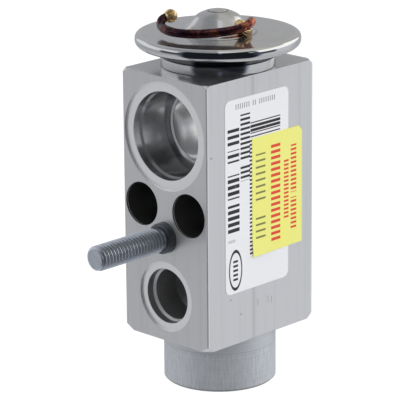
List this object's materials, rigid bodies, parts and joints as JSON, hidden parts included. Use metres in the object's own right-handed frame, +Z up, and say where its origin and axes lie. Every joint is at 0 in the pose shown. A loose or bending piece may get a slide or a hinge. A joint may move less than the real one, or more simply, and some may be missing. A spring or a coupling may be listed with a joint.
{
  "type": "block expansion valve",
  "caption": "Block-type thermostatic expansion valve with a domed power head, through suction passage, liquid ports, clamp holes, a flange stud and an adjusting screw in its boss.",
  "frame": {"origin": "centre of the turned boss's lower face, on the valve's axis", "axes": "+Z up the valve's axis towards the power head, -Y out of the port face that carries the flange stud, +X out of the face with the label"},
  "size_m": [0.0388, 0.0602, 0.0901],
  "materials": {
    "block_aluminium": "extruded faces with fine vertical grain, turned ends",
    "zinc_steel": "bright zinc with a blue cast",
    "white_foil": "satin coated label stock with plain bars printed on it",
    "yellow_foil": "satin coated tag with plain bars printed on it",
    "polished_steel": "polished stainless steel, turned collar",
    "spring_steel": "bright spring steel",
    "seal_rubber": "black moulded rubber",
    "dark_copper": "copper darkened brown-red by brazing heat",
    "brass": "turned or brazed brass",
    "rod_aluminium": "turned aluminium"
  },
  "bodies": {
    "valve_body": {"valve_block": "block_aluminium", "flange_stud": "zinc_steel", "white_label": "white_foil", "date_tag": "yellow_foil", "lower_housing": "polished_steel", "upper_cover": "polished_steel", "diaphragm": "spring_steel", "head_seal": "seal_rubber", "charge_tube": "dark_copper", "tube_ferrule": "brass", "tube_bead": "brass", "rod_seal": "seal_rubber", "seal_retainer": "spring_steel"},
    "valve_stem": {"diaphragm_pad": "rod_aluminium", "sensing_rod": "rod_aluminium", "push_rod": "spring_steel", "valve_ball": "spring_steel", "ball_carrier": "brass", "damper_clip": "spring_steel", "valve_spring": "spring_steel"},
    "screw_carriage": {"screw_seal": "seal_rubber"},
    "screw": {"adjusting_screw": "brass"}
  },
  "joints": [
    {"name": "valve_stroke", "type": "slide", "parent": "valve_body", "child": "valve_stem", "axis": [0, 0, 1], "range_m": [-0.0005, 0], "stiffness_N_per_m": 2000, "springref_m": 0.0003, "deforming": ["valve_spring", "diaphragm"]},
    {"name": "adjuster_travel", "type": "slide", "parent": "valve_body", "child": "screw_carriage", "axis": [0, 0, 1], "range_m": [-0.001, 0.001]},
    {"name": "adjuster_turn", "type": "hinge", "parent": "screw_carriage", "child": "screw", "pos_m": [0, 0, 0.006], "axis": [0, 0, 1], "range_deg": [-360, 360]}
  ],
  "couplings": [
    {"joint": "adjuster_turn", "follows": "adjuster_travel", "rad_per_m": 6283.2}
  ]
}
